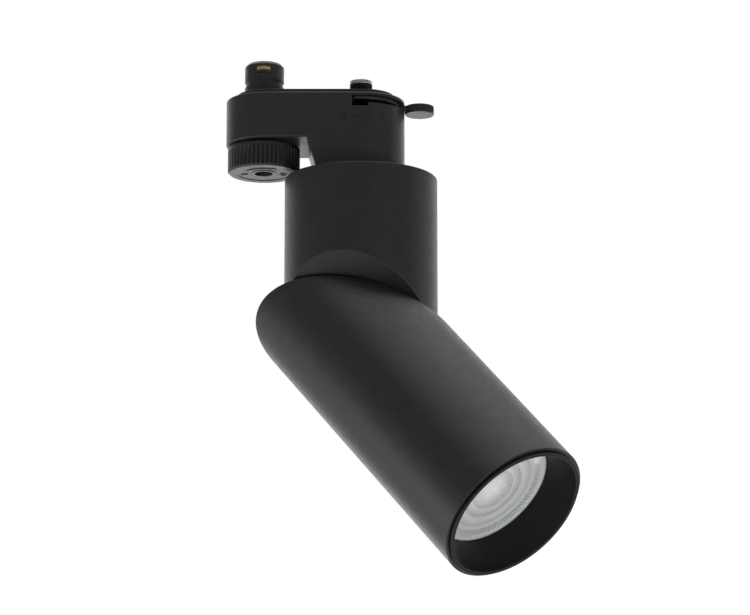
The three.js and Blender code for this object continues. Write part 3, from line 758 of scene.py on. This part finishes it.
for blade_name in ("live_contact", "neutral_contact"):
    low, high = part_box(blade_name)
    outward = 1 if high.y > 0 else -1
    inner = min(abs(low.y), abs(high.y))
    outer = max(abs(low.y), abs(high.y))
    half = (high.x - low.x) / 2
    tip_angles = [math.radians(a) for a in range(0, 181, 15)]
    tip_round = [(half * math.cos(a), outer - BLADE_TIP + BLADE_TIP * math.sin(a)) for a in tip_angles]
    plan = [(knob_x - half, inner * outward)] + [(knob_x - u, v * outward) for u, v in tip_round]
    plan += [(knob_x + half, inner * outward)]
    blade = bevel(prism(blade_name + "_visual", plan, low.z, high.z), 0.18 * MM, segments=2)
    place(soft_shade(blade), "knob", "brass", blade_name)

# ---------------------------------------------------------------- lock lever

LEVER_TOP = -3.7 * MM
LEVER_BOTTOM = -4.9 * MM
BUTTON_TOP = -4.1 * MM
BUTTON_BOTTOM = -7.4 * MM
BUTTON_R = 5.7 * MM
button_x = span("lock_lever", 0)[1] - BUTTON_R
BUTTON_RIBS = 36
at_pan = Matrix.Translation((pan_x, 0, 0))

disc_corners = [(0, LEVER_BOTTOM), (13.7 * MM, LEVER_BOTTOM), (13.7 * MM, LEVER_TOP), (4.6 * MM, LEVER_TOP),
                (4.6 * MM, 2.4 * MM), (0, 2.4 * MM)]
lever_disc = turned("lever_disc", filleted(disc_corners, 0.15 * MM, False), 96, False)
lever_disc.data.transform(at_pan)
rim_plan = shifted(arc_points(15.2 * MM, -100, 12, 40) + arc_points(12 * MM, 12, -100, 40), pan_x)
rim = bevel(prism("lever_rim", rim_plan, LEVER_BOTTOM, LEVER_TOP), 0.15 * MM, segments=2)
arm_start = pan_x + 11 * MM
arm_half = 2.5 * MM
arm_plan = [(arm_start, -arm_half), (button_x, -arm_half), (button_x, arm_half), (arm_start, arm_half)]
arm = bevel(prism("lever_arm", arm_plan, -6.3 * MM, BUTTON_TOP), 0.3 * MM)


def button_ribs(r, z, angle):
    """Fine upright ribs between a smooth top band and a smooth foot."""
    if r < BUTTON_R - 0.05 * MM or not BUTTON_BOTTOM + 0.6 * MM <= z <= BUTTON_TOP - 0.5 * MM:
        return r, z
    wave = 0.5 - 0.5 * math.cos(angle * BUTTON_RIBS)
    return r - 0.28 * MM * wave, z


button_corners = [(0, BUTTON_BOTTOM), (BUTTON_R, BUTTON_BOTTOM, 0.3 * MM),
                  (BUTTON_R, BUTTON_BOTTOM + 0.6 * MM, 0),
                  (BUTTON_R, BUTTON_BOTTOM + 0.7 * MM, 0), (BUTTON_R, BUTTON_TOP - 0.6 * MM, 0),
                  (BUTTON_R, BUTTON_TOP - 0.5 * MM, 0), (BUTTON_R, BUTTON_TOP, 0.25 * MM), (0, BUTTON_TOP)]
button = turned("lever_button", filleted(button_corners, 0.2 * MM, False), BUTTON_RIBS * 8, False,
                Matrix.Translation((button_x, 0, 0)), button_ribs, 45)
place(merged("lock_lever_visual", lever_disc, rim, arm, button), "lever", "black_plastic", "lock_lever")

tongue_low, tongue_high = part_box("lock_tongue")
tongue_plan = [(pan_x + v, u) for u, v in stadium(tongue_high.y, (tongue_high.x - tongue_low.x) / 2, 20)]
tongue = prism("lock_tongue_visual", tongue_plan, tongue_low.z, tongue_high.z)
place(soft_shade(bevel(tongue, 0.2 * MM)), "lever", "zinc_steel", "lock_tongue")

screw_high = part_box("tongue_screw")[1]
tongue_screw = screw_at("tongue_screw_visual", Matrix.Translation((pan_x, 0, 4.1 * MM)), 3 * MM,
                        screw_high.z - 4.1 * MM, 1.4 * MM, 6 * MM)
settled(tongue_screw)
cross_recess(tongue_screw, (pan_x, 0, screw_high.z), 1.9 * MM, 0.8 * MM, "Z")
shade(tongue_screw)
place(tongue_screw, "lever", "zinc_steel", "tongue_screw")

# ---------------------------------------------------------------- canister and head tubes

TUBE_COLUMNS = 256
slant = math.atan2(math.hypot(swivel_axis.x, swivel_axis.y), -swivel_axis.z)
azimuth = math.atan2(swivel_axis.y, swivel_axis.x)


def cut_height(r, angle, distance):
    """Height of the plane across the swivel axis, at a radius and an angle, with the pivot at height 0."""
    return r * math.cos(angle - azimuth) * math.tan(slant) - distance / math.cos(slant)


def canister_profile(angle):
    bore = TUBE_R - TUBE_WALL
    top = CANISTER_TOP - pivot.z
    corners = [
        (TUBE_R, top, 0.03 * MM),
        (TUBE_R, cut_height(TUBE_R, angle, 0), 0.3 * MM),
        (NIPPLE_HOLE, cut_height(NIPPLE_HOLE, angle, 0), 0.2 * MM),
        (NIPPLE_HOLE, cut_height(NIPPLE_HOLE, angle, -END_WALL), 0.1 * MM),
        (bore, cut_height(bore, angle, -END_WALL), 0.2 * MM),
        (bore, top, 0.1 * MM),
    ]
    return filleted(corners, 0.2 * MM, True)


def head_profile(angle):
    bore = TUBE_R - TUBE_WALL
    corners = [
        (TUBE_R, HEAD_TUBE_END, 0.22 * MM),
        (TUBE_R, cut_height(TUBE_R, angle, 0), 0.3 * MM),
        (NIPPLE_HOLE, cut_height(NIPPLE_HOLE, angle, 0), 0.2 * MM),
        (NIPPLE_HOLE, cut_height(NIPPLE_HOLE, angle, END_WALL), 0.1 * MM),
        (bore, cut_height(bore, angle, END_WALL), 0.2 * MM),
        (bore, HEAD_TUBE_END, 0.2 * MM),
    ]
    return filleted(corners, 0.2 * MM, True)


at_pivot = Matrix.Translation(pivot)
canister = turned("canister_shell_visual", canister_profile, TUBE_COLUMNS, True, at_pivot)
place(canister, "canister", "black_paint", "canister_shell")

cap_corners = [
    (NIPPLE_HOLE, CAP_TOP), (NIPPLE_HOLE, CANISTER_TOP + 0.1 * MM),
    (TUBE_R - TUBE_WALL - 2 * MM, CANISTER_TOP + 0.1 * MM),
    (TUBE_R - TUBE_WALL - 2 * MM, CANISTER_TOP - 4.4 * MM),
    (TUBE_R - TUBE_WALL - 0.3 * MM, CANISTER_TOP - 4.4 * MM),
    (TUBE_R - TUBE_WALL - 0.3 * MM, CANISTER_TOP + 0.03 * MM), (TUBE_R, CANISTER_TOP + 0.03 * MM, 0.03 * MM),
    (TUBE_R, CAP_TOP, 0.5 * MM),
]
cap = turned("canister_cap_visual", filleted(cap_corners, 0.15 * MM, True), TUBE_COLUMNS, True, at_pan)
place(cap, "canister", "black_paint", "canister_top_cap")

# The head's own frame: straight under the pivot, then turned about the swivel axis to its place.
straight = Vector((0, 0, -1))
flat_start = straight - swivel_axis * straight.dot(swivel_axis)
flat_end = head_axis - swivel_axis * head_axis.dot(swivel_axis)
rest_turn = math.atan2(swivel_axis.dot(flat_start.cross(flat_end)), flat_start.dot(flat_end))
head_turn = Quaternion(swivel_axis, rest_turn).to_matrix().to_4x4()
at_head = Matrix.Translation(pivot + swivel_axis * SWIVEL_GAP) @ head_turn

head = turned("head_shell_visual", head_profile, TUBE_COLUMNS, True, at_head)
place(settled(head), "head", "black_paint", "head_shell")

# ---------------------------------------------------------------- baffle ring

SLEEVE_R = TUBE_R - TUBE_WALL - 0.3 * MM
FLANGE_R = 28.6 * MM
FLANGE_BACK = BAFFLE_FRONT + 0.85 * MM
baffle_corners = [
    (27.15 * MM, BAFFLE_FRONT, 0.2 * MM), (27.7 * MM, BAFFLE_FRONT, 0.08 * MM),
    (27.8 * MM, BAFFLE_FRONT + 0.25 * MM, 0.05 * MM), (27.95 * MM, BAFFLE_FRONT + 0.25 * MM, 0.05 * MM),
    (28.05 * MM, BAFFLE_FRONT, 0.08 * MM), (FLANGE_R, BAFFLE_FRONT, 0.18 * MM),
    (FLANGE_R, FLANGE_BACK, 0.1 * MM), (SLEEVE_R, FLANGE_BACK, 0.1 * MM),
    (SLEEVE_R, LAMP_FACE + 2 * MM), (LAMP_R + 0.7 * MM, LAMP_FACE + 2 * MM),
    (LAMP_R + 0.7 * MM, LAMP_FACE - 0.3 * MM), (23.7 * MM, LAMP_FACE - 0.3 * MM, 0.1 * MM),
    (23.7 * MM, LAMP_FACE - 0.7 * MM, 0.15 * MM), (26.9 * MM, BAFFLE_FRONT + 1.0 * MM, 0.3 * MM),
]
baffle = turned("baffle_ring_visual", filleted(baffle_corners, 0.2 * MM, True), TUBE_COLUMNS, True, at_head)
place(settled(baffle), "baffle", "baffle_plastic", "baffle_ring")

# ---------------------------------------------------------------- lamp

def lens_relief(r, z, angle):
    """Fine radial ribs in a band near the lens's edge, on its front face only."""
    if z > LAMP_FACE + 1 * MM or not TICK_IN <= r <= TICK_OUT:
        return r, z
    wave = 0.5 - 0.5 * math.cos(angle * TICKS)
    return r, z + 0.35 * MM * wave


def lens_profile():
    """From the middle of the face outwards: a domed middle, stepped rings, the ribbed band, a flange."""
    points = []
    steps = [(0, 9.0, -0.15, 0.35), (9.0, 12.5, 0.05, 0.35), (12.5, 17.0, 0.05, 0.3), (17.0, 19.4, 0.1, 0.1)]
    for inner, outer, front, back in steps:
        for i in range(7):
            t = i / 6
            sag = front + (back - front) * t**2
            points.append(((inner + (outer - inner) * t) * MM, LAMP_FACE + 0.25 * MM + sag * MM))
    for i in range(7):
        points.append((TICK_IN + (TICK_OUT - TICK_IN) * i / 6, LAMP_FACE + 0.3 * MM))
    rim = [(22.4 * MM, LAMP_FACE + 0.02 * MM), (LENS_R - 0.3 * MM, LAMP_FACE + 0.02 * MM),
           (LENS_R, LAMP_FACE + 0.3 * MM),
           (LENS_R, LAMP_FACE + 3.4 * MM), (0, LAMP_FACE + 3.4 * MM)]
    return [Vector(p) for p in points + rim]


lens = turned("lamp_lens_visual", lens_profile(), TICKS * 6, False, at_head, lens_relief, 25)
place(lens, "lamp", "lens_plastic", "lamp_lens")

lamp_corners = [
    (0, -50.4 * MM), (13.2 * MM, -50.4 * MM), (14 * MM, -55.5 * MM, 2 * MM), (19 * MM, -67.5 * MM, 4 * MM),
    (24.2 * MM, -84 * MM, 3 * MM), (LAMP_R, -88 * MM, 1 * MM), (LAMP_R, LAMP_FACE + 0.4 * MM, 0.3 * MM),
    (24.6 * MM, LAMP_FACE + 0.4 * MM, 0.1 * MM), (24.6 * MM, -88.8 * MM), (23.6 * MM, -88.8 * MM),
    (22.8 * MM, -85 * MM), (17.4 * MM, -68 * MM), (12.4 * MM, -57 * MM), (0, -57 * MM),
]
lamp_body = turned("lamp_body_visual", filleted(lamp_corners, 0.3 * MM, False), 128, False, at_head)
place(settled(lamp_body), "lamp", "white_plastic", "lamp_body")

# ---------------------------------------------------------------- floor, world and lights

FLOOR_Z = -0.62
floor_mesh = finish_mesh("floor", [(-8, -8, 0), (8, -8, 0), (8, 8, 0), (-8, 8, 0)], [(0, 1, 2, 3)])
floor_mesh.location.z = FLOOR_Z
floor_nodes = Nodes("pale_floor")
floor_nodes.link(floor_nodes.blend(floor_nodes.noise(3, 2), (0.93, 0.93, 0.93), (0.95, 0.95, 0.945)),
                 floor_nodes.shader.inputs["Base Color"])
floor_nodes.shader.inputs["Roughness"].default_value = 0.9
floor_mesh.data.materials.append(floor_nodes.material)


def studio_world():
    """Brighter behind the object than in front of it, and plain white where the camera sees it."""
    world = bpy.data.worlds.new("studio")
    world.use_nodes = True
    tree = world.node_tree
    tree.nodes.clear()
    link = tree.links.new
    place_node = tree.nodes.new("ShaderNodeTexCoord")
    apart = tree.nodes.new("ShaderNodeSeparateXYZ")
    link(place_node.outputs["Generated"], apart.inputs["Vector"])
    ramp = tree.nodes.new("ShaderNodeMapRange")
    ramp.interpolation_type = "SMOOTHSTEP"
    ramp.inputs["From Min"].default_value = 0.25
    ramp.inputs["From Max"].default_value = 1.0
    ramp.inputs["To Min"].default_value = 0.21
    ramp.inputs["To Max"].default_value = 1.45
    link(apart.outputs["Y"], ramp.inputs["Value"])
    room = tree.nodes.new("ShaderNodeBackground")
    room.inputs["Color"].default_value = (1.0, 0.99, 0.98, 1)
    link(ramp.outputs["Result"], room.inputs["Strength"])
    backdrop = tree.nodes.new("ShaderNodeBackground")
    backdrop.inputs["Color"].default_value = (1, 1, 1, 1)
    backdrop.inputs["Strength"].default_value = 1.0
    rays = tree.nodes.new("ShaderNodeLightPath")
    mix = tree.nodes.new("ShaderNodeMixShader")
    link(rays.outputs["Is Camera Ray"], mix.inputs["Fac"])
    link(room.outputs["Background"], mix.inputs[1])
    link(backdrop.outputs["Background"], mix.inputs[2])
    out = tree.nodes.new("ShaderNodeOutputWorld")
    link(mix.outputs["Shader"], out.inputs["Surface"])
    bpy.context.scene.world = world


def soft_light(name, at, towards, size, power, color=(1, 1, 1)):
    data = bpy.data.lights.new(name, "AREA")
    data.shape = "RECTANGLE"
    data.size, data.size_y = size
    data.energy = power
    data.color = color
    light = bpy.data.objects.new(name, data)
    light.location = at
    aim = Vector(towards) - Vector(at)
    light.rotation_euler = aim.to_track_quat("-Z", "Y").to_euler()
    light.visible_camera = False
    bpy.context.scene.collection.objects.link(light)


studio_world()
soft_light("left_panel", (-1.0, -0.05, -0.5), (0.03, 0, -0.13), (0.6, 0.5), 2.9)
soft_light("right_panel", (1.5, 0.3, 0.1), (0.05, 0, -0.1), (0.5, 1.2), 1)
soft_light("top_panel", (0.0, 0.2, 1.3), (0.02, 0, -0.1), (1.2, 1.2), 2)
soft_light("floor_panel", (0.0, 0.0, 4.5), (0.0, 0, -0.6), (6.0, 6.0), 110)
soft_light("low_back_panel", (0.0, 1.2, -0.36), (0.0, 0, -0.03), (1.2, 0.45), 1.9)
soft_light("lamp_panel", (0.6, -0.75, -0.55), (0.06, -0.04, -0.17), (0.4, 0.4), 2.9)

bpy.context.scene.view_settings.view_transform = "Standard"
bpy.context.scene.view_settings.look = "None"
